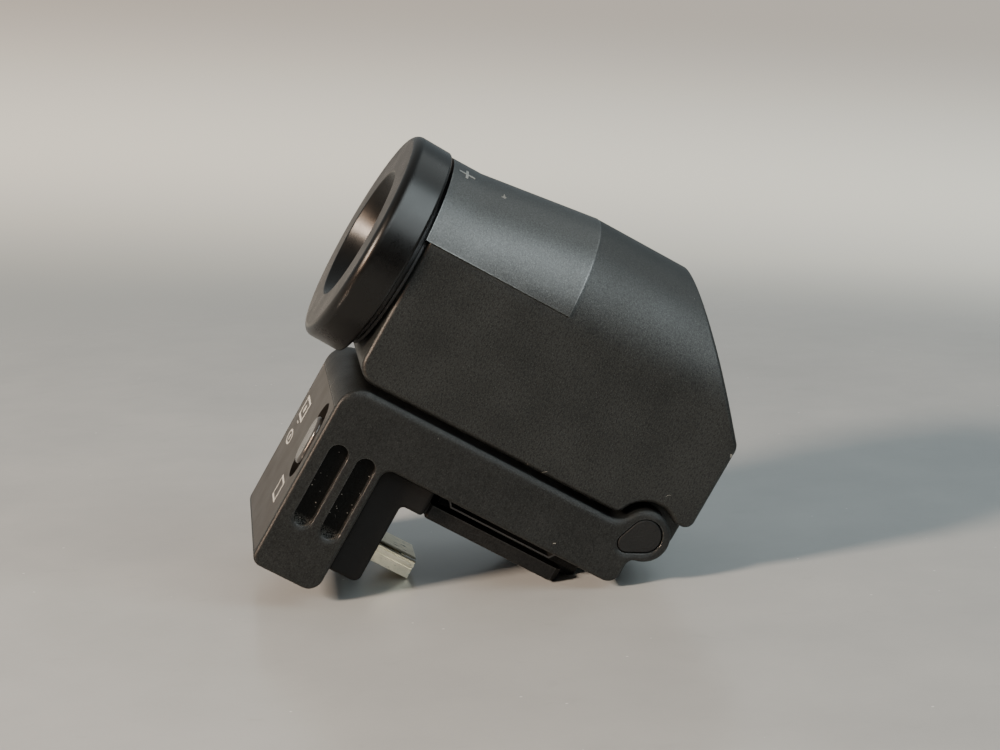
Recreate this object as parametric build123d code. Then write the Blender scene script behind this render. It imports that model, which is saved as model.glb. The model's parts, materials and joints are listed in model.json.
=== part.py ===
from build123d import *
import math
import os

# Clip-on tilting electronic viewfinder for a camera accessory shoe.
# Millimetres, +Z up, +Y forward (the eyepiece looks out of the -Y end), +X right.
# The pieces are drawn about the hinge axis, then moved so that the origin is the
# middle of the shoe foot's underside.

# ---- driving dimensions -------------------------------------------------------------
hinge_y = 14.65           # hinge axis ahead of the foot's middle
hinge_z = 10.9            # hinge axis above the foot's underside

base_half = 13.0          # half width of the base bracket
arm_depth = 7.1           # height of the arm
base_rear = -39.9         # rear face of the base
block_front = -31.2       # front of the block that hangs behind the shoe
block_bottom = -24.2
arm_nose = -0.2           # front of the arm below the hinge lobes
lobe_radius = 3.15
lobe_middle = (0.1, -0.12)
notch_half = 8.8          # half width of the gap between the two hinge lobes
notch_rear = -4.0
edge_round = 0.42

panel_half = 12.1         # rear panel let into the base
panel_top = -3.5
panel_bottom = -23.0
panel_thick = 1.1

groove_width = 2.4        # two grip grooves on each side
groove_length = 10.7
groove_depth = 0.8
groove_middle = -12.3
groove_rows = (-36.9, -33.35)

selector_x = 7.6          # selector on the rear panel
selector_z = -9.2
selector_travel = 1.6
knob_width = 4.4
knob_length = 6.2
recess_width = 6.0
recess_length = 9.8
recess_floor = -38.5

foot_half = 9.3           # accessory-shoe foot: 18.6 wide, 18 long, 1.8 thick
foot_rear = -23.65
foot_front = -5.65
foot_top = -9.1
foot_bottom = -10.9
neck_half = 6.2

connector_half = 11.0     # block under the arm that carries the plug
connector_front = -27.0
connector_bottom = -21.3
skin = 0.03               # thickness of the printed marks
plug_half = 4.1
plug_front = -20.65
plug_top = -17.1
plug_bottom = -19.62
plug_knee = 2.19          # height of the plug's upright sides
plug_shoulder = 1.3       # width of its sloping shoulders

pin_radius = 1.2
bush_radius = 2.2
running_gap = 0.06

axis_z = 14.4             # optical axis above the hinge axis
finder_half = 12.3        # half width of the finder housing
finder_rear = -39.6
finder_front = 4.8
finder_floor = 0.8
finder_top = 29.5
ledge_z = 18.6            # where the flat sides meet the rear shroud
seam_y = -21.0            # where the shroud meets the housing
wall = 1.3
shell_round = 0.55
cutout_radius = 3.9       # relief in the housing around the hinge lobes
slant_low = (4.8, 14.35)
slant_high = (-9.27, 30.5)

barrel_radius = 13.15
barrel_rear = -40.0
flare_start = -36.0

ring_radius = 13.55       # dioptre ring round the eyepiece
ring_rear = -45.6
ring_front = -40.7
eye_pitch = -1.6          # the eyepiece looks up by this many degrees
pitch_y = -43.15          # the optical parts are pitched about this point of the axis
flange_radius = 11.8
flange_rear = -39.95
funnel_end = -43.3        # the eye opening narrows down to here
funnel_slope = 0.78
eye_hole = 8.35
tube_bore = 9.4
tube_radius = 10.8
neck_radius = 11.2
cell_radius = 9.32
cell_rear = -42.0
cell_front = -30.5
lens_radius = 8.25
clear_radius = 7.4


# ---- helpers ------------------------------------------------------------------------
def block(x0, x1, y0, y1, z0, z1):
    middle = ((x0 + x1) / 2, (y0 + y1) / 2, (z0 + z1) / 2)
    return Pos(*middle) * Box(x1 - x0, y1 - y0, z1 - z0)


def rod_x(radius, x0, x1, y=0.0, z=0.0):
    return Pos((x0 + x1) / 2, y, z) * Rot(0, 90, 0) * Cylinder(radius, x1 - x0)


def rod_y(radius, y0, y1, x=0.0, z=axis_z):
    return Pos(x, (y0 + y1) / 2, z) * Rot(90, 0, 0) * Cylinder(radius, y1 - y0)


def rod_z(radius, z0, z1, x=0.0, y=0.0):
    return Pos(x, y, (z0 + z1) / 2) * Cylinder(radius, z1 - z0)


def tube_y(outer, inner, y0, y1):
    return rod_y(outer, y0, y1) - rod_y(inner, y0 - 1, y1 + 1)


def across(face, x0, x1):
    """A side-view outline (Y, Z) made solid from x0 to x1."""
    return extrude(Plane.YZ.offset(x0) * face, amount=x1 - x0)


def along(face, y0, y1):
    """A rear-view outline (X, Z) made solid from y0 to y1."""
    return extrude(Plane.XZ.offset(-y1) * face, amount=y1 - y0)


def spun(points):
    """A half section (radius, y) turned about the optical axis."""
    face = make_face(Polyline(*[(r, y, 0) for r, y in points], close=True))
    turned = revolve(face, Axis.Y)
    return Pos(0, 0, axis_z) * turned


def rect(a0, a1, b0, b1):
    return Pos((a0 + a1) / 2, (b0 + b1) / 2) * Rectangle(a1 - a0, b1 - b0)


def corners(face, spots, radius):
    """Rounds the corners of a flat outline that lie nearest the given spots."""
    chosen = []
    for spot in spots:
        near = min(face.vertices(), key=lambda v: math.dist((v.X, v.Y), spot))
        chosen.append(near)
    return fillet(chosen, radius)


def mirrored(piece):
    return piece + mirror(piece, about=Plane.YZ)


def group(pieces):
    """Several separate solids kept as one node."""
    return Part() + pieces


def countersunk(x, y, head_z, head_radius, head_depth, shank_radius, length):
    """A flat-headed screw that points along +Z, with its cross-slotted head at head_z."""
    head = Cone(head_radius, shank_radius, head_depth)
    shank = Pos(0, 0, length / 2) * Cylinder(shank_radius, length - head_depth)
    slot_a = Pos(0, 0, -head_depth / 2) * Box(head_radius, 0.3, 0.6)
    slot_b = Pos(0, 0, -head_depth / 2) * Box(0.3, head_radius, 0.6)
    return Pos(x, y, head_z + head_depth / 2) * (head + shank - slot_a - slot_b)


def pitched(piece):
    """Tips an optical part about the optical axis's pitch point."""
    return Pos(0, pitch_y, axis_z) * Rot(eye_pitch, 0, 0) * Pos(0, -pitch_y, -axis_z) * piece


parts = {}

# ---- base bracket -------------------------------------------------------------------
side = rect(base_rear, arm_nose, -arm_depth, 0) + rect(base_rear, block_front, block_bottom, 0)
side += Pos(*lobe_middle) * Circle(lobe_radius)
side = corners(side, [(base_rear, 0)], 3.0)
side = corners(side, [(base_rear, block_bottom)], 1.3)
side = corners(side, [(block_front, block_bottom)], 1.8)
side = corners(side, [(block_front, -arm_depth)], 1.2)
side = corners(side, [(arm_nose, -arm_depth)], 1.6)
side = corners(side, [(-lobe_radius, 0)], 2.6)
side = corners(side, [(arm_nose, -lobe_radius)], 1.0)
bracket = across(side, -base_half, base_half)
rims = bracket.faces().sort_by(Axis.X)[0].edges() + bracket.faces().sort_by(Axis.X)[-1].edges()
bracket = fillet(rims, edge_round)
bracket -= block(-notch_half, notch_half, notch_rear, 6, -9, 6)
pocket = block(-panel_half - 0.05, panel_half + 0.05, base_rear - 1, base_rear + panel_thick,
               panel_bottom - 0.05, panel_top + 0.05)
bracket -= pocket
bracket -= block(-11.2, 11.2, base_rear + 1, -32.3, -22.2, -3.6)
bracket -= block(-4.4, 4.4, -33, block_front + 1, -20.0, -17.0)
bracket -= block(-10.4, 10.4, -29.0, -6.4, -arm_depth - 1, -1.6)
groove = SlotOverall(groove_length, groove_width, rotation=90)
for row in groove_rows:
    cut = across(Pos(row, groove_middle) * groove, base_half - groove_depth, base_half + 1)
    bracket -= mirrored(cut)
bracket -= rod_x(pin_radius + 0.01, -14, 14)
cap_outline = make_hull([*(Pos(0.1, -0.05) * Circle(2.12)).edges(),
                         *(Pos(-1.42, -1.75) * Circle(1.27)).edges()])
cap_pocket = across(cap_outline, base_half - 0.7, base_half + 1)
bracket -= mirrored(cap_pocket)
parts["base_bracket"] = bracket

# ---- rear panel with the selector recess ----------------------------------------------
panel = block(-panel_half, panel_half, base_rear, base_rear + panel_thick, panel_bottom, panel_top)
panel = fillet(panel.edges().filter_by(Axis.Y), 0.6)
boss = SlotOverall(recess_length + 1.0, recess_width + 1.0, rotation=90)
panel += along(Pos(selector_x, selector_z) * boss, base_rear + panel_thick, recess_floor + 0.7)
recess = SlotOverall(recess_length, recess_width, rotation=90)
panel -= along(Pos(selector_x, selector_z) * recess, base_rear - 1, recess_floor)
stem_slot = SlotOverall(2.0 + 2 * selector_travel + 0.4, 1.6, rotation=90)
panel -= along(Pos(selector_x, selector_z) * stem_slot, base_rear - 1, -36)
parts["rear_panel"] = panel

# ---- selector ----------------------------------------------------------------------------
knob_shape = SlotOverall(knob_length, knob_width, rotation=90)
knob = along(Pos(selector_x, selector_z) * knob_shape, base_rear - 0.35, recess_floor - 0.1)
knob = fillet(knob.faces().sort_by(Axis.Y)[0].edges(), 0.45)
stem = SlotOverall(2.0, 1.3, rotation=90)
knob += along(Pos(selector_x, selector_z) * stem, recess_floor - 0.4, -36.7)
parts["selector_knob"] = knob
keeper = block(selector_x - 2.2, selector_x + 2.2, -37.5, -37.1, selector_z - 1.4, selector_z + 1.4)
keeper -= along(Pos(selector_x, selector_z) * stem, -39, -36)
parts["selector_keeper"] = keeper

# ---- boards in the base ------------------------------------------------------------------
parts["main_board"] = block(-10.8, 10.8, -33.5, -32.7, -21.6, -4.8)
switch = block(selector_x - 2.6, selector_x + 2.6, -36.2, -33.5, selector_z - 4.4, selector_z + 4.4)
switch -= block(selector_x - 0.9, selector_x + 0.9, -37, -35.4, selector_z - 3.0, selector_z + 3.0)
parts["slide_switch"] = switch
chips = block(-8.6, -3.4, -34.5, -33.5, -12.0, -6.8)
chips += block(-8.0, -5.0, -34.3, -33.5, -17.4, -14.4)
chips += block(-2.0, 1.5, -34.4, -33.5, -10.5, -7.0)
chips += block(0.5, 2.1, -34.1, -33.5, -18.6, -17.4)
chips += block(3.5, 8.5, -34.6, -33.5, -20.3, -16.3)
parts["board_chips"] = chips

# ---- connector block and plug -------------------------------------------------------------
housing = rect(block_front, connector_front, connector_bottom, -arm_depth)
housing += rect(block_front, -24.2, -10.6, -arm_depth)
housing = corners(housing, [(connector_front, connector_bottom)], 1.0)
housing = corners(housing, [(block_front, -arm_depth)], 1.3)
housing = corners(housing, [(connector_front, -10.6)], 0.6)
housing = corners(housing, [(-24.2, -10.6)], 0.5)
connector = across(housing, -connector_half, connector_half)
connector = fillet(connector.edges().filter_by(Axis.Z), 0.5)
connector -= block(-10.2, 10.2, -33, -28.4, -20.3, -8.2)


def plug_outline(inset):
    low = plug_bottom + inset
    high = plug_top - inset
    half = plug_half - inset
    knee = low + plug_knee
    points = [(-half, low), (half, low), (half, knee), (half - plug_shoulder, high),
              (-half + plug_shoulder, high), (-half, knee)]
    return make_face(Polyline(*points, close=True))


connector -= along(plug_outline(-0.03), -29, -26)
parts["connector_block"] = connector
shell = along(plug_outline(0.0), -30.2, plug_front)
shell -= along(plug_outline(0.4), -31, plug_front + 1)
for slit_low, slit_high in ((1.2, 1.48), (1.95, 2.13)):
    slit = block(plug_half - 0.2, plug_half + 1, connector_front, plug_front + 1,
                 plug_bottom + slit_low, plug_bottom + slit_high)
    shell -= mirrored(slit)
parts["plug_shell"] = shell
tongue = block(-2.8, 2.8, -30.2, plug_front - 1.2, -18.85, -18.1)
tongue += block(-2.5, 2.5, -30.2, -27.6, -19.05, -17.7)
parts["plug_tongue"] = tongue
pads = []
for i in range(8):
    x = -2.45 + 0.7 * i
    pads.append(block(x - 0.17, x + 0.17, -27.6, plug_front - 1.6, -18.1, -17.98))
parts["plug_contacts"] = group(pads)
parts["plug_solder_tails"] = block(-2.8, 2.8, -32.7, -30.2, -18.7, -18.3)

# ---- foot and arm floor ----------------------------------------------------------------------
floor = block(-10.3, 10.3, -28.9, -6.5, -arm_depth, -5.9)
foot = block(-foot_half, foot_half, foot_rear, foot_front, foot_bottom, foot_top)
upright = foot.edges().filter_by(Axis.Z).group_by(Axis.Y)
foot = chamfer(upright[-1], 0.8)
upright = foot.edges().filter_by(Axis.Z).group_by(Axis.Y)
foot = chamfer(upright[0], 0.3)
foot = fillet(foot.faces().sort_by(Axis.Z)[0].edges(), 0.35)
neck = block(-neck_half, neck_half, -22.4, -3.3, foot_top, -arm_depth)
stop = rect(foot_front - 0.1, -3.3, -9.8, -arm_depth)
stop = corners(stop, [(-3.3, -9.8)], 0.7)
foot += neck + across(stop, -neck_half, neck_half)
screws = []
for x in (-3.6, 3.6):
    for y in (-19.6, -9.6):
        screws.append(countersunk(x, y, foot_bottom, 1.7, 1.0, 0.9, 6.4))
        foot -= Pos(x, y, foot_bottom + 0.5) * Cone(1.75, 0.95, 1.0)
        foot -= rod_z(0.95, foot_bottom, -6, x, y)
        foot -= rod_z(1.75, foot_bottom - 1, foot_bottom, x, y)
        floor -= rod_z(0.92, -8, -5, x, y)
parts["arm_floor"] = floor
parts["shoe_foot"] = foot
parts["foot_screws"] = group(screws)
strip = make_face(Polyline((-22.4, -7.1), (-21.3, -8.5), (-7.7, -8.5), (-6.6, -7.1), (-6.85, -7.1),
                           (-7.8, -8.32), (-21.2, -8.32), (-22.15, -7.1), close=True))
parts["foot_springs"] = group([across(strip, 6.35, 8.8), across(strip, -8.8, -6.35)])

# ---- hinge -----------------------------------------------------------------------------------
parts["hinge_pin"] = rod_x(pin_radius, -12.2, 12.2)
washer = rod_x(2.7, 8.63, 8.79) - rod_x(pin_radius + 0.02, 8, 9)
parts["friction_washers"] = group([washer, mirror(washer, about=Plane.YZ)])
cap = across(offset(cap_outline, -0.12), base_half - 0.7, base_half - 0.02)
cap = chamfer(cap.faces().sort_by(Axis.X)[-1].edges(), 0.12)
parts["hinge_cap_right"] = cap
parts["hinge_cap_left"] = mirror(cap, about=Plane.YZ)

knuckle = Circle(3.2) + rect(0, 4.5, -0.6, 2.75) + rect(-2.2, 3.15, 0, 8.0)
knuckle = corners(knuckle, [(4.5, -0.6)], 1.1)
leaf = across(knuckle, -8.55, 8.55)
leaf -= rod_x(pin_radius + running_gap, -9, 9)
leaf -= mirrored(rod_x(bush_radius, 6.0, 9.0))
bush = rod_x(bush_radius, 6.0, 8.55) - rod_x(pin_radius + running_gap, 5, 9)
parts["hinge_bushes"] = group([bush, mirror(bush, about=Plane.YZ)])
leaf_screws = []
for x in (-5.0, 5.0):
    leaf -= rod_y(0.72, -0.8, 3.5, x, 5.6)
    leaf_screws.append(rod_y(0.7, -0.6, 3.15, x, 5.6) + rod_y(1.2, -3.0, -2.2, x, 5.6)
                       + rod_y(0.7, -2.2, -0.6, x, 5.6))
    leaf -= rod_y(0.72, -2.4, 0, x, 5.6)
parts["hinge_leaf"] = leaf
parts["hinge_leaf_screws"] = group(leaf_screws)

# ---- finder housing ----------------------------------------------------------------------------
low = rect(finder_rear, finder_front, finder_floor, ledge_z)
high = rect(seam_y, finder_front, ledge_z - 1, finder_top)
outline = low + high
beyond = make_face(Polyline(slant_low, (20, slant_low[1]), (20, 60), (slant_high[0], 60),
                            slant_high, close=True))
outline -= beyond
outline -= Circle(cutout_radius)
outline -= rect(0, 8, -5, 2.85)
outline = corners(outline, [(finder_rear, finder_floor)], 2.4)
outline = corners(outline, [(-3.82, finder_floor)], 1.1)
outline = corners(outline, [slant_low], 1.6)
outline = corners(outline, [(2.66, 2.85)], 0.5)
outline = corners(outline, [(finder_front, 2.85)], 1.2)


def arch(half, floor_z, top_z):
    centre = top_z - half
    edge = ThreePointArc((half, centre), (0, top_z), (-half, centre))
    walls = Polyline((-half, centre), (-half, floor_z), (half, floor_z), (half, centre))
    return make_face(edge + walls)


envelope = along(arch(finder_half, -2, finder_top), -50, 10)
body = across(outline, -20, 20) & envelope
flat_sides = [f for f in body.faces() if abs(abs(f.center().X) - finder_half) < 0.001]
slant_face = max((f for f in body.faces() if f.normal_at().Y > 0.5 and f.normal_at().Z > 0.3),
                 key=lambda f: f.area)
sharp = [e for f in flat_sides for e in f.edges() if e.center().Z < 17.0]
sharp += slant_face.edges().filter_by(GeomType.ELLIPSE)
body = fillet(sharp, shell_round)
inner = rect(finder_rear + wall, finder_front - wall, finder_floor + wall, 40)
inner_slant = make_face(Polyline((slant_low[0], slant_low[1] - 1.75), (20, slant_low[1] - 1.75),
                                 (20, 60), (slant_high[0], 60),
                                 (slant_high[0], slant_high[1] - 1.75), close=True))
inner -= inner_slant
inner -= Circle(cutout_radius + 1.1)
core = across(inner, -20, 20) & along(arch(finder_half - wall, -2, finder_top - wall), -50, 10)
body -= core
parts["finder_shell"] = body

# ---- floor of the housing ----------------------------------------------------------------------
cover = block(-10.7, 10.7, -37.6, -5.6, finder_floor, finder_floor + 1.2)
cover = fillet(cover.edges().filter_by(Axis.Z), 0.8)
opening = block(-10.78, 10.78, -37.68, -5.52, 0, 3)
opening = fillet(opening.edges().filter_by(Axis.Z), 0.85)
body -= opening
body -= block(-8.75, 8.75, -6.0, 3.2, -1, 8.1)
posts = []
cover_screws = []
for x in (-9.1, 9.1):
    for y in (-35.6, -8.0):
        outer_x = math.copysign(11.5, x)
        post = rod_z(1.5, finder_floor + 1.2, 6.4, x, y)
        post += block(min(x, outer_x), max(x, outer_x), y - 0.6, y + 0.6, finder_floor + 1.3, 6.4)
        body += post - rod_z(0.72, 0, 5.8, x, y)
        cover -= Pos(x, y, finder_floor + 0.3) * Cone(1.25, 0.75, 0.6)
        cover -= rod_z(0.75, 0, 3, x, y)
        cover -= rod_z(1.25, 0, finder_floor, x, y)
        cover_screws.append(countersunk(x, y, finder_floor, 1.2, 0.6, 0.7, 4.6))
bore = pitched(rod_y(tube_radius + 0.05, barrel_rear - 1, finder_rear + wall + 1))
seat = pitched(rod_y(flange_radius + 0.05, barrel_rear - 1, finder_rear))
body -= bore + seat
ledge_line = rect(finder_half - 0.25, finder_half + 1, ledge_z - 0.14, ledge_z + 1)
body -= mirrored(along(ledge_line, finder_rear - 1, seam_y))
for x in (-5.0, 5.0):
    body -= rod_y(0.71, 3.0, 4.0, x, 5.6)
parts["finder_shell"] = body
parts["bottom_cover"] = cover
parts["cover_screws"] = group(cover_screws)


# ---- rear shroud that carries the barrel into the housing ---------------------------------------
def segment(half, top):
    edge = ThreePointArc((half, ledge_z), (0, top), (-half, ledge_z))
    return make_face(edge + Line((-half, ledge_z), (half, ledge_z)))


barrel_half = math.sqrt(barrel_radius ** 2 - (ledge_z - axis_z) ** 2)
rear_face = segment(barrel_half, axis_z + barrel_radius)
front_face = segment(finder_half + 0.1, finder_top + 0.03)
sections = [Plane.XZ.offset(-flare_start) * rear_face, Plane.XZ.offset(-seam_y) * front_face]
shroud = loft(sections, ruled=True) + along(rear_face, barrel_rear, flare_start)
inside_rear = segment(barrel_half - wall, axis_z + barrel_radius - wall)
inside_front = segment(finder_half + 0.1 - wall, finder_top - wall)
hollow = loft([Plane.XZ.offset(-flare_start) * inside_rear, Plane.XZ.offset(-seam_y) * inside_front],
              ruled=True)
hollow += along(inside_rear, barrel_rear + wall, flare_start)
shroud -= hollow
shroud -= bore + seat
parts["rear_shroud"] = shroud

# ---- optical tube, ring and cell ----------------------------------------------------------------
tube = spun([(tube_bore, -44.2), (neck_radius, -44.2), (neck_radius, flange_rear),
             (flange_radius, flange_rear), (flange_radius, finder_rear), (tube_radius, finder_rear),
             (tube_radius, -16.0),
             (8.4, -16.0), (8.4, -16.8), (tube_bore, -16.8)])
guide = block(-0.62, 0.62, -38.0, -31.0, axis_z - 11, axis_z - 9)
parts["lens_tube"] = tube - guide
ring = spun([(eye_hole, ring_rear), (ring_radius, ring_rear), (ring_radius, ring_front),
             (neck_radius + running_gap, ring_front), (neck_radius + running_gap, -44.5),
             (9.0, -44.5), (8.6, funnel_end),
             (eye_hole - (funnel_end - ring_rear) * funnel_slope, funnel_end)])


def rim(piece, radius, y):
    """The circular edge of that radius at that station along the optical axis."""
    circles = piece.edges().filter_by(GeomType.CIRCLE)
    return [e for e in circles if abs(e.radius - radius) < 0.01 and abs(e.center().Y - y) < 0.01]


ring = fillet(rim(ring, ring_radius, ring_rear), 1.1)
ring = fillet(rim(ring, ring_radius, ring_front), 0.35)
ring = fillet(rim(ring, eye_hole, ring_rear), 0.3)
parts["eyepiece_ring"] = ring
cell = spun([(lens_radius + 0.02, cell_rear), (cell_radius, cell_rear), (cell_radius, cell_front),
             (7.4, cell_front), (7.4, -31.2), (lens_radius + 0.02, -31.2)])
cell_pin = block(-0.55, 0.55, -35.6, -34.4, axis_z - 10.4, axis_z - 9.1)
parts["lens_cell"] = cell + cell_pin


def lens(edge_rear, edge_front, bulge_rear, bulge_front):
    """Curved out to clear_radius, then a flat rim that the spacers hold."""
    rear_arc = ThreePointArc((-clear_radius, edge_rear), (0, edge_rear - bulge_rear),
                             (clear_radius, edge_rear))
    front_arc = ThreePointArc((clear_radius, edge_front), (0, edge_front + bulge_front),
                              (-clear_radius, edge_front))
    right = Polyline((clear_radius, edge_rear), (lens_radius, edge_rear),
                     (lens_radius, edge_front), (clear_radius, edge_front))
    left = Polyline((-clear_radius, edge_front), (-lens_radius, edge_front),
                    (-lens_radius, edge_rear), (-clear_radius, edge_rear))
    whole = make_face(rear_arc + right + front_arc + left)
    half = whole & rect(0, 20, -60, 0)
    return Pos(0, 0, axis_z) * revolve(half, Axis.Y)


parts["eye_lens"] = lens(-40.6, -39.2, 0.7, 1.0)
parts["field_lens"] = lens(-36.4, -34.6, 0.9, 0.6)
parts["rear_lens"] = lens(-33.1, -32.0, -0.5, 0.7)
parts["lens_spacers"] = group([tube_y(lens_radius, 7.6, -39.2, -36.4),
                               tube_y(lens_radius, 7.6, -34.6, -33.1),
                               tube_y(lens_radius, 7.6, -32.0, -31.2)])
lock = tube_y(lens_radius, 7.5, -41.6, -40.6)
for angle in (0, 90, 180, 270):
    notch = block(7.6, 9, -41.8, -41.2, axis_z - 0.5, axis_z + 0.5)
    lock -= Pos(0, 0, axis_z) * Rot(0, angle, 0) * Pos(0, 0, -axis_z) * notch
parts["lens_lock_ring"] = lock

# ---- display ------------------------------------------------------------------------------------
frame = rod_y(tube_radius - 0.1, -16.0, -14.6) + block(-9.6, 9.6, -14.6, -11.6, axis_z - 8, axis_z + 8)
frame -= block(-6.0, 6.0, -17, -13.4, axis_z - 4.6, axis_z + 4.6)
frame -= block(-7.6, 7.6, -13.4, -10, axis_z - 6.1, axis_z + 6.1)
parts["display_holder"] = frame
parts["display_panel"] = block(-7.5, 7.5, -13.4, -12.4, axis_z - 6.0, axis_z + 6.0)
parts["display_board"] = block(-9.4, 9.4, -11.6, -10.8, axis_z - 7.8, axis_z + 7.8)
driver_chip = block(-3.5, 3.5, -10.8, -9.8, axis_z - 3, axis_z + 2)
memory_chip = block(4.6, 8.2, -10.8, -9.6, axis_z - 6, axis_z - 2)
parts["display_chips"] = driver_chip + memory_chip

on_optical_axis = ("lens_tube", "eyepiece_ring", "lens_cell", "eye_lens", "field_lens", "rear_lens",
                   "lens_spacers", "lens_lock_ring", "display_holder", "display_panel",
                   "display_board", "display_chips")
for name in on_optical_axis:
    parts[name] = pitched(parts[name])

# ---- printed marks: plain symbols, no lettering ---------------------------------------------------


def printed(face):
    """A flat symbol (X, Z) on the rear panel."""
    return along(face, base_rear - skin, base_rear)


screen = rect(-9.9, -5.1, -10.3, -7.5) - rect(-9.4, -5.6, -9.9, -7.9)
screen += rect(-8.2, -6.8, -10.9, -10.7) + Pos(-7.5, -8.9) * Circle(0.55)
parts["mark_screen"] = group([printed(screen)])
eye = Ellipse(2.1, 0.95) - Ellipse(1.75, 0.65)
parts["mark_eye"] = group([printed(Pos(-7.5, -12.9) * (eye + Circle(0.42)))])
plate = rect(3.2, 7.0, -18.0, -15.2) - rect(3.55, 6.65, -17.65, -15.55)
parts["mark_plate"] = printed(plate)
plus_y = -38.2
plus = block(-1.05, 1.05, plus_y - 0.16, plus_y + 0.16, 12, 14)
plus += block(-0.16, 0.16, plus_y - 1.05, plus_y + 1.05, 12, 14)
plus = Pos(0, 0, axis_z) * Rot(0, 18, 0) * plus
parts["mark_plus"] = plus & tube_y(barrel_radius + skin, barrel_radius, plus_y - 2, plus_y + 2)

for name, piece in parts.items():
    print(name, len(piece.solids()), round(piece.volume, 1))
os.makedirs("parts", exist_ok=True)
place = Pos(0, hinge_y, hinge_z)
for name, piece in parts.items():
    export_step(place * piece, "parts/" + name + ".step")
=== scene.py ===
import json
import math

import bpy
from mathutils import Matrix, Vector


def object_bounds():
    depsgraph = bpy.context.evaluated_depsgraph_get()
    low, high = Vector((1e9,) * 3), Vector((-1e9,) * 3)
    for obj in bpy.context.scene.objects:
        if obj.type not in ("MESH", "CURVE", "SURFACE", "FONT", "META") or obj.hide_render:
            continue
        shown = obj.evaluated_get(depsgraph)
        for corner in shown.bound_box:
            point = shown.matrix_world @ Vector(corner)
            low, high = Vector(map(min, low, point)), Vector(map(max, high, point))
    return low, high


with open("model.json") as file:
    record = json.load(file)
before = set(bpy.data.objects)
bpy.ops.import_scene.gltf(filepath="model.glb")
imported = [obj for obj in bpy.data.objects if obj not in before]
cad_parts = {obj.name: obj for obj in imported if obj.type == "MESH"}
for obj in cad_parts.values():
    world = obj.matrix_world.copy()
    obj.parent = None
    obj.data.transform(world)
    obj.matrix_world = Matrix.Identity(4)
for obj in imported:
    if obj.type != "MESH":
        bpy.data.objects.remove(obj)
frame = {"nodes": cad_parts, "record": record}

# A clip-on tilting viewfinder lying on a pale table. Lengths are in metres, and in
# shader nodes in millimetres, both in the part's own frame: +Z up, +Y forward.
cad_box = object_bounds()
nodes = frame["nodes"]
PER_MM = 1000.0

# The camera's place and its three axes.
CAMERA_PLACE = (0.27044, -0.06540, 0.05336)
CAMERA_RIGHT = (0.12174, 0.86458, 0.48753)
CAMERA_UP = (-0.21062, -0.45750, 0.86391)
CAMERA_BACK = (0.96996, -0.20786, 0.12640)
CAMERA_LENS_MM = 82.53
CAMERA_SENSOR_MM = 36.0

# Where the grip grooves of the base lie, in millimetres.
GROOVE_SIDE = 12.9
GROOVE_MIDDLE_Y = -20.5
GROOVE_HALF_Y = 3.3
GROOVE_MIDDLE_Z = -1.4
GROOVE_HALF_Z = 5.6
GROOVE_DUST_LOW = -6.7
GROOVE_DUST_HIGH = -5.4
SLIGHT_ROUND_MM = 0.2


# ---------------------------------------------------------------- shader graphs

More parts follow.
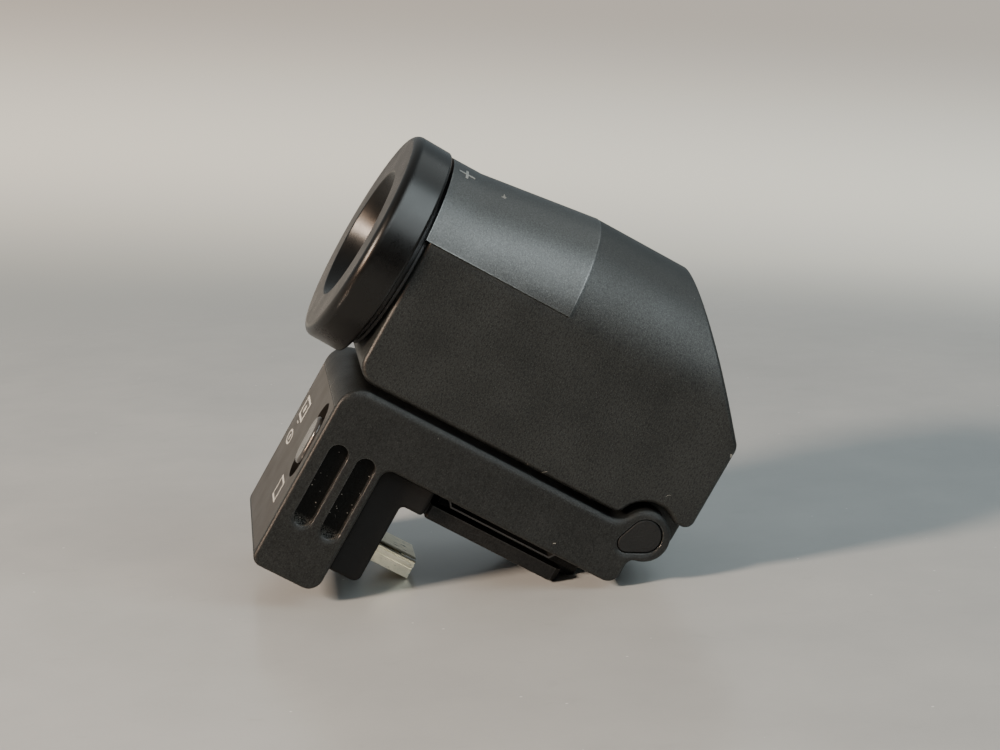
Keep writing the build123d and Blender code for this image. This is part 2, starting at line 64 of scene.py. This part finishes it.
class Graph:
    """One material's node tree, with a short call for each kind of node used here."""

    def __init__(self, owner):
        owner.use_nodes = True
        self.tree = owner.node_tree
        self.tree.nodes.clear()

    def add(self, kind, values=None, **settings):
        node = self.tree.nodes.new("ShaderNode" + kind)
        for key, value in settings.items():
            setattr(node, key, value)
        for socket, value in (values or {}).items():
            self.feed(node.inputs[socket], value)
        return node

    def feed(self, socket, value):
        if isinstance(value, bpy.types.NodeSocket):
            self.tree.links.new(value, socket)
        else:
            socket.default_value = value

    def math(self, operation, a, b=0.0):
        return self.add("Math", {0: a, 1: b}, operation=operation).outputs[0]

    def points(self):
        """Where a surface point is on the part, in millimetres."""
        place = self.add("TexCoord").outputs["Object"]
        return self.add("VectorMath", {0: place, 3: PER_MM}, operation="SCALE").outputs[0]

    def stretched(self, points, x, y, z):
        return self.add("VectorMath", {0: points, 1: (x, y, z)}, operation="MULTIPLY").outputs[0]

    def noise(self, points, size, detail=3.0, rough=0.55):
        """Grey noise whose lumps are about `size` millimetres across."""
        made = self.add("TexNoise", {"Vector": points, "Scale": 1.0 / size, "Detail": detail,
                                     "Roughness": rough})
        return made.outputs["Fac"]

    def span(self, value, low, high, to_low=0.0, to_high=1.0, smooth=False):
        """`value` from low..high carried to to_low..to_high, and held at the ends."""
        made = self.add("MapRange", {"Value": value, "From Min": low, "From Max": high,
                                     "To Min": to_low, "To Max": to_high})
        if smooth:
            made.interpolation_type = "SMOOTHSTEP"
        return made.outputs["Result"]

    def mix(self, factor, a, b):
        made = self.add("Mix", {"Factor": factor}, data_type="RGBA")
        self.feed(made.inputs[6], a)
        self.feed(made.inputs[7], b)
        return made.outputs[2]

    def specks(self, points, spacing, radius, share):
        """Round spots: one cell in `share` holds a spot of `radius` cells."""
        cells = self.add("TexVoronoi", {"Vector": points, "Scale": 1.0 / spacing})
        near = self.span(cells.outputs["Distance"], radius * 0.7, radius, 1.0, 0.0)
        pick = self.add("SeparateColor", {0: cells.outputs["Color"]}).outputs[0]
        return self.math("MULTIPLY", near, self.math("LESS_THAN", pick, share))

    def edges(self, radius_mm, low=0.02, high=0.25):
        """1 along sharp edges and 0 on flat faces."""
        soft = self.add("Bevel", {"Radius": radius_mm / PER_MM}, samples=4).outputs[0]
        true = self.add("NewGeometry").outputs["Normal"]
        agree = self.add("VectorMath", {0: soft, 1: true}, operation="DOT_PRODUCT")
        return self.span(agree.outputs["Value"], 1.0 - low, 1.0 - high)

    def fibres(self, points):
        """A few short, thin, curled hairs."""
        field = self.noise(points, 5.0, 1.0)
        line = self.math("ABSOLUTE", self.math("SUBTRACT", field, 0.5))
        here = self.math("GREATER_THAN", self.noise(points, 2.2, 0.0), 0.79)
        return self.math("MULTIPLY", self.math("LESS_THAN", line, 0.0035), here)

    def groove_mask(self, points):
        """1 in the two grip grooves on each side of the base."""
        x, y, z = self.add("SeparateXYZ", {0: points}).outputs[:3]
        mask = self.math("LESS_THAN", self.math("ABSOLUTE", x), GROOVE_SIDE)
        for axis, middle, half in ((y, GROOVE_MIDDLE_Y, GROOVE_HALF_Y),
                                   (z, GROOVE_MIDDLE_Z, GROOVE_HALF_Z)):
            off = self.math("ABSOLUTE", self.math("SUBTRACT", axis, middle))
            mask = self.math("MULTIPLY", mask, self.math("LESS_THAN", off, half))
        return mask

    def soft_upward(self, radius_mm):
        """The normal of a wider rounding on edges that face up, and of a slight one elsewhere."""
        soft = self.add("Bevel", {"Radius": radius_mm / PER_MM}, samples=4).outputs[0]
        slight = self.add("Bevel", {"Radius": SLIGHT_ROUND_MM / PER_MM}, samples=4).outputs[0]
        up = self.add("SeparateXYZ", {0: soft}).outputs[2]
        blend = self.add("Mix", {"Factor": self.span(up, 0.1, 0.35)}, data_type="VECTOR")
        self.feed(blend.inputs[4], slight)
        self.feed(blend.inputs[5], soft)
        return self.add("VectorMath", {0: blend.outputs[1]}, operation="NORMALIZE").outputs[0]

    def bump(self, height, depth_mm, strength=1.0, under=None):
        values = {"Height": height, "Distance": depth_mm / PER_MM, "Strength": strength}
        if under is not None:
            values["Normal"] = under
        return self.add("Bump", values).outputs[0]

    def surface(self, **values):
        """The Principled shader and the output; a key's _ stands for a space."""
        named = {key.replace("_", " "): value for key, value in values.items()}
        shader = self.add("BsdfPrincipled", named)
        self.add("OutputMaterial", {"Surface": shader.outputs[0]})
        return shader


def rgb(red, green, blue):
    return (red, green, blue, 1.0)


def shade(colour, factor):
    return rgb(*(channel * factor for channel in colour[:3]))


DUST = rgb(0.42, 0.40, 0.36)


# -------------------------------------------------------------------- materials

def satin_paint(name, colour, rough=0.47, grain=0.15, depth=0.022, sheen=0.5, dust=0.02,
                edge_wear_highlight_gain=0.35, soft_top=0.0, grooved=False):
    """Fine-textured black paint on cast metal, with grain, dust, fibres, and edges lightened partly
    as rubbed wear and partly as a painted edge highlight.

    soft_top rounds the look of upward edges by that many millimetres; grooved darkens the grip
    grooves of the base as painted shade and dusts them.
    """
    material = bpy.data.materials.new(name)
    g = Graph(material)
    p = g.points()
    cloud = g.noise(p, 6.0, 4.0)
    fine = g.noise(p, grain, 2.0, 0.6)
    coarse = g.noise(p, grain * 2.6, 3.0)
    tone = g.mix(g.span(cloud, 0.3, 0.7), shade(colour, 0.8), shade(colour, 1.2))
    streak = g.noise(g.stretched(p, 1.0, 1.0, 0.5), grain * 1.3, 2.0, 0.6)
    tone = g.mix(g.span(streak, 0.38, 0.54, 0.95, 0.0), tone, shade(colour, 0.2))
    tone = g.mix(g.span(fine, 0.58, 0.72, 0.0, 0.7), tone, shade(colour, 3.0))
    edge = g.edges(0.3, high=0.16)
    edge_wear_and_highlight = g.math("MULTIPLY", edge, g.span(coarse, 0.34, 0.56, 0.35, 1.0))
    # Edges lightened in colour: partly rubbed wear, partly a painted edge highlight.
    tone = g.mix(g.math("MULTIPLY", edge_wear_and_highlight, edge_wear_highlight_gain), tone, shade(colour, 4.5))
    spots = g.math("MULTIPLY", g.specks(p, 1.2, 0.07, dust), 0.8)
    tone = g.mix(spots, tone, DUST)
    tone = g.mix(g.fibres(p), tone, shade(DUST, 0.8))
    roughness = g.span(cloud, 0.3, 0.7, rough - 0.04, rough + 0.05)
    roughness = g.math("SUBTRACT", roughness, g.math("MULTIPLY", edge_wear_and_highlight, 0.17))
    shine = g.math("MULTIPLY", g.span(fine, 0.35, 0.6, 0.7, 1.0), sheen)
    shine = g.math("ADD", shine, g.math("MULTIPLY", edge_wear_and_highlight, 0.45))
    if grooved:
        inside = g.groove_mask(p)
        # Painted shade: the paint inside the grooves is darkened as the shade of the recesses.
        tone = g.mix(g.math("MULTIPLY", inside, 0.85), tone, shade(colour, 0.25))
        shine = g.math("MULTIPLY", shine, g.span(inside, 0.0, 1.0, 1.0, 0.25))
        patches = g.span(g.noise(p, 2.0), 0.5, 0.56)
        lint = g.math("MULTIPLY", g.specks(p, 0.34, 0.28, 0.42), patches)
        rise = g.add("SeparateXYZ", {0: p}).outputs[2]
        low = g.span(rise, GROOVE_DUST_LOW, GROOVE_DUST_HIGH, 0.35, 0.0)
        haze = g.math("MULTIPLY", g.span(fine, 0.42, 0.6), low)
        tone = g.mix(g.math("MULTIPLY", g.math("MAXIMUM", lint, haze), inside), tone, DUST)
    relief = g.math("ADD", fine, g.math("MULTIPLY", coarse, 0.8))
    under = g.soft_upward(soft_top) if soft_top else None
    g.surface(Base_Color=tone, Roughness=roughness, Specular_IOR_Level=shine,
              Normal=g.bump(relief, depth, under=under))
    return material


def smooth_black(name, colour, rough=0.3, sheen=0.5, dust=0.03, turned=0.0,
                 tint=(1.0, 1.0, 1.0, 1.0)):
    """Smooth satin black with faint cloudiness, hairline turning marks and dust."""
    material = bpy.data.materials.new(name)
    g = Graph(material)
    p = g.points()
    cloud = g.noise(p, 4.0, 4.0)
    fine = g.noise(p, 0.08, 2.0)
    tone = g.mix(g.span(cloud, 0.35, 0.65), shade(colour, 0.88), shade(colour, 1.15))
    tone = g.mix(g.math("MULTIPLY", g.specks(p, 1.6, 0.05, dust), 0.7), tone, DUST)
    lines = g.noise(g.stretched(p, 0.15, 1.0, 0.15), 0.06, 2.0)
    roughness = g.span(cloud, 0.3, 0.7, rough - 0.03, rough + 0.05)
    roughness = g.math("ADD", roughness, g.span(lines, 0.3, 0.7, 0.0, turned))
    relief = g.math("ADD", g.math("MULTIPLY", fine, 0.5), g.math("MULTIPLY", lines, turned * 6))
    g.surface(Base_Color=tone, Roughness=roughness, Normal=g.bump(relief, 0.004),
              Specular_IOR_Level=sheen, Specular_Tint=tint)
    return material


def moulded_black(name, colour, rough=0.6, grain=0.22, depth=0.02, sheen=0.42):
    """Moulded plastic with a spark-eroded grain and settled dust."""
    material = bpy.data.materials.new(name)
    g = Graph(material)
    p = g.points()
    cloud = g.noise(p, 3.0, 3.0)
    cells = g.add("TexVoronoi", {"Vector": p, "Scale": 1.0 / grain}).outputs["Distance"]
    pits = g.noise(p, grain * 0.6, 3.0, 0.6)
    tone = g.mix(g.span(cloud, 0.3, 0.7), shade(colour, 0.82), shade(colour, 1.2))
    tone = g.mix(g.span(pits, 0.58, 0.72, 0.0, 0.5), tone, shade(colour, 2.4))
    tone = g.mix(g.math("MULTIPLY", g.specks(p, 0.9, 0.07, 0.04), 0.7), tone, DUST)
    relief = g.math("ADD", g.math("MULTIPLY", cells, 0.5), pits)
    g.surface(Base_Color=tone, Roughness=g.span(cloud, 0.3, 0.7, rough - 0.05, rough + 0.06),
              Normal=g.bump(relief, depth), Specular_IOR_Level=sheen)
    return material


def metal(name, colour, rough=0.28, scratch=0.25, along=(1.0, 0.08, 1.0), stain=0.0):
    """Plated or turned metal with fine lines, scratches and dull patches."""
    material = bpy.data.materials.new(name)
    g = Graph(material)
    p = g.points()
    cloud = g.noise(p, 1.6, 4.0)
    lines = g.noise(g.stretched(p, *along), 0.05, 3.0, 0.7)
    marks = g.noise(g.stretched(p, 1.0, 0.25, 1.0), 0.5, 5.0, 0.7)
    tone = g.mix(g.span(cloud, 0.35, 0.65), shade(colour, 0.84), colour)
    if stain:
        tone = g.mix(g.span(marks, 0.60, 0.66, 0.0, stain), tone, shade(colour, 0.12))
    roughness = g.span(lines, 0.35, 0.65, rough - 0.06, rough + scratch)
    g.surface(Base_Color=tone, Metallic=1.0, Roughness=roughness,
              Normal=g.bump(lines, 0.003))
    return material


def glossy_knob(name, colour):
    """Glossy dark knob with lighter rounded edges and a few dust grains."""
    material = bpy.data.materials.new(name)
    g = Graph(material)
    p = g.points()
    cloud = g.noise(p, 1.2, 3.0)
    tone = g.mix(g.span(cloud, 0.3, 0.7), shade(colour, 0.9), shade(colour, 1.12))
    tone = g.mix(g.math("MULTIPLY", g.edges(0.2), 0.3), tone, shade(colour, 1.7))
    tone = g.mix(g.specks(p, 0.8, 0.06, 0.05), tone, DUST)
    g.surface(Base_Color=tone, Roughness=g.span(cloud, 0.3, 0.7, 0.16, 0.28),
              Normal=g.bump(g.noise(p, 0.1), 0.002), Specular_IOR_Level=0.6)
    return material


def lens_glass(name, coating):
    """Clear lens glass under a thin anti-reflection coating, with a little dust."""
    material = bpy.data.materials.new(name)
    g = Graph(material)
    p = g.points()
    smear = g.noise(p, 2.5, 4.0)
    roughness = g.span(smear, 0.45, 0.75, 0.0, 0.05)
    shader = g.surface(Base_Color=rgb(0.97, 0.99, 0.985), Roughness=roughness, IOR=1.52,
                       Transmission_Weight=1.0, Specular_Tint=coating)
    shader.inputs["Thin Film Thickness"].default_value = 420.0
    shader.inputs["Thin Film IOR"].default_value = 1.38
    return material


def display_face(name):
    """A dark, switched-off micro display: a fine pixel grid under cover glass."""
    material = bpy.data.materials.new(name)
    g = Graph(material)
    p = g.points()
    grid = g.add("TexBrick", {"Vector": p, "Scale": 12.0, "Mortar Size": 0.02,
                              "Color1": rgb(0.012, 0.013, 0.02),
                              "Color2": rgb(0.016, 0.015, 0.022),
                              "Mortar": rgb(0.004, 0.004, 0.006)})
    g.surface(Base_Color=grid.outputs["Color"], Specular_IOR_Level=0.6,
              Roughness=g.span(g.noise(p, 2.0), 0.3, 0.7, 0.05, 0.1))
    return material


def circuit_board(name):
    """Green solder mask with paler tracks beneath it."""
    material = bpy.data.materials.new(name)
    g = Graph(material)
    p = g.points()
    tracks = g.add("TexVoronoi", {"Vector": p, "Scale": 0.9}, distance="CHEBYCHEV",
                   feature="F1")
    line = g.span(g.math("FRACT", g.math("MULTIPLY", tracks.outputs["Distance"], 5.0)), 0.42, 0.5)
    tone = g.mix(line, rgb(0.012, 0.10, 0.045), rgb(0.025, 0.17, 0.075))
    g.surface(Base_Color=tone, Roughness=g.span(g.noise(p, 1.5), 0.3, 0.7, 0.25, 0.4),
              Normal=g.bump(line, 0.02))
    return material


def printed_ink(name, colour):
    """Thin pale ink with worn, slightly speckled cover."""
    material = bpy.data.materials.new(name)
    g = Graph(material)
    p = g.points()
    wear = g.noise(p, 0.12, 3.0, 0.6)
    tone = g.mix(g.span(wear, 0.52, 0.70, 0.0, 0.6), colour, shade(colour, 0.35))
    g.surface(Base_Color=tone, Roughness=g.span(wear, 0.3, 0.7, 0.45, 0.6),
              Normal=g.bump(wear, 0.006))
    return material


FINISHES = {
    "body_paint": satin_paint("cast_body_paint", rgb(0.0165, 0.0182, 0.0168), sheen=0.46),
    "panel_black": smooth_black("rear_panel_satin", rgb(0.022, 0.020, 0.018), rough=0.40,
                                tint=rgb(1.0, 0.90, 0.78)),
    "ring_black": smooth_black("ring_satin", rgb(0.0032, 0.0031, 0.0029), rough=0.27,
                               sheen=0.34, turned=0.05),
    "block_black": moulded_black("connector_moulding", rgb(0.006, 0.006, 0.006), sheen=0.2),
    "cap_black": moulded_black("hinge_cap_grain", rgb(0.006, 0.0065, 0.0065), grain=0.3,
                               depth=0.06, sheen=0.28),
    "tube_black": smooth_black("anodised_tube", rgb(0.014, 0.014, 0.015), rough=0.36, turned=0.12),
    "knob_grey": glossy_knob("selector_gloss", rgb(0.050, 0.048, 0.046)),
    "foot_black": satin_paint("foot_paint", rgb(0.009, 0.0095, 0.0095), rough=0.55, grain=0.12,
                              sheen=0.28),
    "plug_metal": metal("plug_plating", rgb(0.93, 0.87, 0.69), rough=0.40, scratch=0.18,
                        stain=0.85),
    "steel": metal("spring_steel", rgb(0.60, 0.59, 0.57), rough=0.22),
    "screw_black": metal("blackened_steel", rgb(0.10, 0.10, 0.105), rough=0.38),
    "contact_gold": metal("gold_contact", rgb(0.83, 0.62, 0.25), rough=0.22, scratch=0.12),
    "bush_brass": metal("brass_bush", rgb(0.70, 0.50, 0.22), rough=0.3),
    "plug_tongue": moulded_black("tongue_moulding", rgb(0.012, 0.012, 0.012), grain=0.12),
    "board_green": circuit_board("solder_mask"),
    "chip_black": moulded_black("chip_resin", rgb(0.02, 0.02, 0.02), grain=0.1, depth=0.008),
    "switch_plastic": moulded_black("switch_moulding", rgb(0.03, 0.03, 0.03), grain=0.12),
    "lens_glass": lens_glass("coated_lens", rgb(0.62, 0.95, 0.72)),
    "display_dark": display_face("micro_display"),
    "print_white": printed_ink("pale_ink", rgb(0.60, 0.59, 0.55)),
}

# Nodes whose colour differs a little from their slot's finish: the rear shroud lighter and
# glossier, the base bracket darker as painted shade on the lower part, the foot springs dark as
# painted shade in the foot's slot.
SPECIAL = {
    "rear_shroud": satin_paint("shroud_paint", rgb(0.027, 0.030, 0.029), rough=0.42, sheen=0.72,
                               depth=0.012),
    # Painted shade: the base bracket's paint is darker than the body's to stand for the shade on
    # the lower part.
    "base_bracket": satin_paint("base_paint_with_painted_shade", rgb(0.0100, 0.0112, 0.0104), sheen=0.42, soft_top=1.2,
                                grooved=True),
    # Painted shade: the springs are coloured near black to stand for the shade in the foot's slot,
    # so only their edges catch light.
    "foot_springs": metal("spring_dark_as_slot_shade", rgb(0.10, 0.10, 0.10), rough=0.4),
}

slot_of = {row["node"]: row["material_slot"] for row in frame["record"]["subparts"]}
for node_name, node in nodes.items():
    finish = SPECIAL.get(node_name) or FINISHES[slot_of[node_name]]
    for holder in node.material_slots:
        holder.material = finish


# ------------------------------------------------------------ table and surroundings

# The part rests, to about 0.1 mm, on the tip of its plug and the front stop of its
# foot, so the table leans in the part's own frame. The backdrop has its own upward
# direction.
TABLE_LEAN = math.radians(30.8)
TABLE_NORMAL = Vector((0.0, -math.sin(TABLE_LEAN), math.cos(TABLE_LEAN)))
TABLE_OFFSET = -0.00450
TABLE_RADIUS = 0.26
BACKDROP_UP = (0.0, -0.4431, 0.8965)
TABLE_RINGS = 26
TABLE_SPOKES = 96
TABLE_FADE_START_MM = 115.0
TABLE_FADE_END_MM = 235.0
BACKDROP_REACH = 0.40
ROOM_START = -0.35
ROOM_END = 0.55


def table_top():
    """A round table top of rings and spokes, one-sided, that fades out at its rim."""
    across = Vector((1.0, 0.0, 0.0))
    onward = TABLE_NORMAL.cross(across)
    middle = TABLE_NORMAL * TABLE_OFFSET
    points = [middle]
    for ring in range(1, TABLE_RINGS + 1):
        radius = TABLE_RADIUS * ring / TABLE_RINGS
        for spoke in range(TABLE_SPOKES):
            angle = 2 * math.pi * spoke / TABLE_SPOKES
            points.append(middle + radius * (math.cos(angle) * across + math.sin(angle) * onward))
    faces = [(0, 1 + s, 1 + (s + 1) % TABLE_SPOKES) for s in range(TABLE_SPOKES)]
    for ring in range(TABLE_RINGS - 1):
        inner = 1 + ring * TABLE_SPOKES
        outer = inner + TABLE_SPOKES
        for s in range(TABLE_SPOKES):
            t = (s + 1) % TABLE_SPOKES
            faces.append((inner + s, outer + s, outer + t, inner + t))
    mesh = bpy.data.meshes.new("table_top")
    mesh.from_pydata(points, [], faces)
    made = bpy.data.objects.new("table_top", mesh)
    bpy.context.scene.collection.objects.link(made)
    mesh.materials.append(table_material())


def table_material():
    """Pale grey laminate, slightly glossy, with faint marks and white dust."""
    material = bpy.data.materials.new("table_laminate")
    g = Graph(material)
    p = g.points()
    mottle = g.noise(p, 22.0, 5.0)
    fine = g.noise(p, 0.5, 3.0)
    smear = g.noise(g.stretched(p, 1.0, 0.2, 1.0), 3.0, 5.0, 0.65)
    tone = g.mix(g.span(mottle, 0.3, 0.7), rgb(0.56, 0.56, 0.55), rgb(0.63, 0.63, 0.615))
    tone = g.mix(g.span(smear, 0.62, 0.75, 0.0, 0.22), tone, rgb(0.45, 0.44, 0.43))
    dust = g.math("MULTIPLY", g.specks(p, 2.6, 0.07, 0.16), 0.8)
    tone = g.mix(dust, tone, rgb(0.95, 0.95, 0.93))
    shader = g.add("BsdfPrincipled", {"Base Color": tone, "Specular IOR Level": 0.6,
                                      "Roughness": g.span(mottle, 0.3, 0.7, 0.19, 0.25),
                                      "Normal": g.bump(fine, 0.01)})
    middle = tuple(TABLE_NORMAL * TABLE_OFFSET * PER_MM)
    away = g.add("VectorMath", {0: p, 1: middle}, operation="DISTANCE").outputs["Value"]
    shown = g.span(away, TABLE_FADE_START_MM, TABLE_FADE_END_MM, 1.0, 0.0, smooth=True)
    back = g.add("NewGeometry").outputs["Backfacing"]
    shown = g.math("MULTIPLY", shown, g.math("SUBTRACT", 1.0, back))
    clear = g.add("BsdfTransparent").outputs[0]
    both = g.add("MixShader", {0: shown, 1: clear, 2: shader.outputs[0]})
    g.add("OutputMaterial", {"Surface": both.outputs[0]})
    return material


table_top()


def surroundings():
    """The backdrop behind the part, a cool ceiling, and a dark room on the near side."""
    world = bpy.data.worlds.new("studio")
    bpy.context.scene.world = world
    g = Graph(world)
    toward = g.add("TexCoord").outputs["Generated"]
    height = g.add("VectorMath", {0: toward, 1: BACKDROP_UP}, operation="DOT_PRODUCT")
    level = g.span(height.outputs["Value"], -BACKDROP_REACH, BACKDROP_REACH)
    ramp = g.add("ValToRGB", {0: level})
    bands = [
        (-0.30, rgb(0.60, 0.58, 0.53)),
        (-0.255, rgb(0.60, 0.58, 0.53)),
        (-0.182, rgb(0.39, 0.395, 0.375)),
        (-0.115, rgb(0.93, 0.88, 0.77)),
        (-0.045, rgb(0.52, 0.465, 0.41)),
        (0.15, rgb(0.29, 0.325, 0.345)),
    ]
    stops = ramp.color_ramp
    stops.interpolation = "EASE"
    while len(stops.elements) < len(bands):
        stops.elements.new(0.5)
    for stop, (rise, colour) in zip(stops.elements, bands):
        stop.position = (rise + BACKDROP_REACH) / (2 * BACKDROP_REACH)
        stop.color = colour
    side = g.add("VectorMath", {0: toward, 1: CAMERA_RIGHT}, operation="DOT_PRODUCT")
    warm = g.mix(g.span(side.outputs["Value"], -0.2, 0.2), rgb(1.03, 0.985, 0.93),
                 rgb(0.97, 1.0, 0.995))
    tinted = g.add("Mix", {"Factor": 1.0}, data_type="RGBA", blend_type="MULTIPLY")
    g.feed(tinted.inputs[6], ramp.outputs["Color"])
    g.feed(tinted.inputs[7], warm)
    nearer = g.add("SeparateXYZ", {0: toward}).outputs[0]
    room = g.span(nearer, ROOM_START, ROOM_END, smooth=True)
    colour = g.mix(room, tinted.outputs[2], rgb(0.046, 0.047, 0.044))
    light = g.add("Background", {"Color": colour, "Strength": 1.15})
    g.add("OutputWorld", {"Surface": light.outputs[0]})


surroundings()


# ------------------------------------------------------------------ lights and camera

LIGHT_DISTANCE = 0.60


def soft_box(name, toward, width, height, power, colour):
    """A rectangular light out along `toward`, facing the part."""
    aim = (Vector(cad_box[0]) + Vector(cad_box[1])) / 2
    data = bpy.data.lights.new(name, "AREA")
    data.shape = "RECTANGLE"
    data.size = width
    data.size_y = height
    data.energy = power
    data.color = colour
    made = bpy.data.objects.new(name, data)
    out = Vector(toward).normalized()
    made.location = aim + out * LIGHT_DISTANCE
    made.rotation_euler = out.to_track_quat("Z", "Y").to_euler()
    made.visible_camera = False
    bpy.context.scene.collection.objects.link(made)
    return made


soft_box("warm_window", (0.406, -0.912, -0.010), 0.10, 0.08, 5.0, (1.0, 0.82, 0.66))
soft_box("cool_fill", (0.42, 0.20, 0.88), 0.34, 0.34, 1.0, (0.82, 0.97, 1.0))
# These four only shine in reflections, as the far windows of a large room would.
for name, toward, width, height, power, colour in (
        ("warm_edge", (0.49, -0.855, -0.15), 0.15, 0.13, 2.6, (1.0, 0.64, 0.42)),
        ("cool_window", (0.60, 0.02, 0.79), 0.46, 0.56, 4.0, (0.90, 0.985, 1.0)),
        ("side_fill", (0.83, -0.30, 0.47), 0.26, 0.20, 0.5, (0.92, 0.985, 1.0)),
        ("overhead", (-0.30, 0.15, 0.94), 0.36, 0.36, 0.5, (0.94, 1.0, 0.98))):
    soft_box(name, toward, width, height, power, colour).visible_diffuse = False

camera_data = bpy.data.cameras.new("camera")
camera_data.sensor_width = CAMERA_SENSOR_MM
camera_data.lens = CAMERA_LENS_MM
camera_data.clip_start = 0.01
camera = bpy.data.objects.new("camera", camera_data)
turn = Matrix((CAMERA_RIGHT, CAMERA_UP, CAMERA_BACK)).transposed()
camera.matrix_world = Matrix.Translation(CAMERA_PLACE) @ turn.to_4x4()
bpy.context.scene.collection.objects.link(camera)
bpy.context.scene.camera = camera
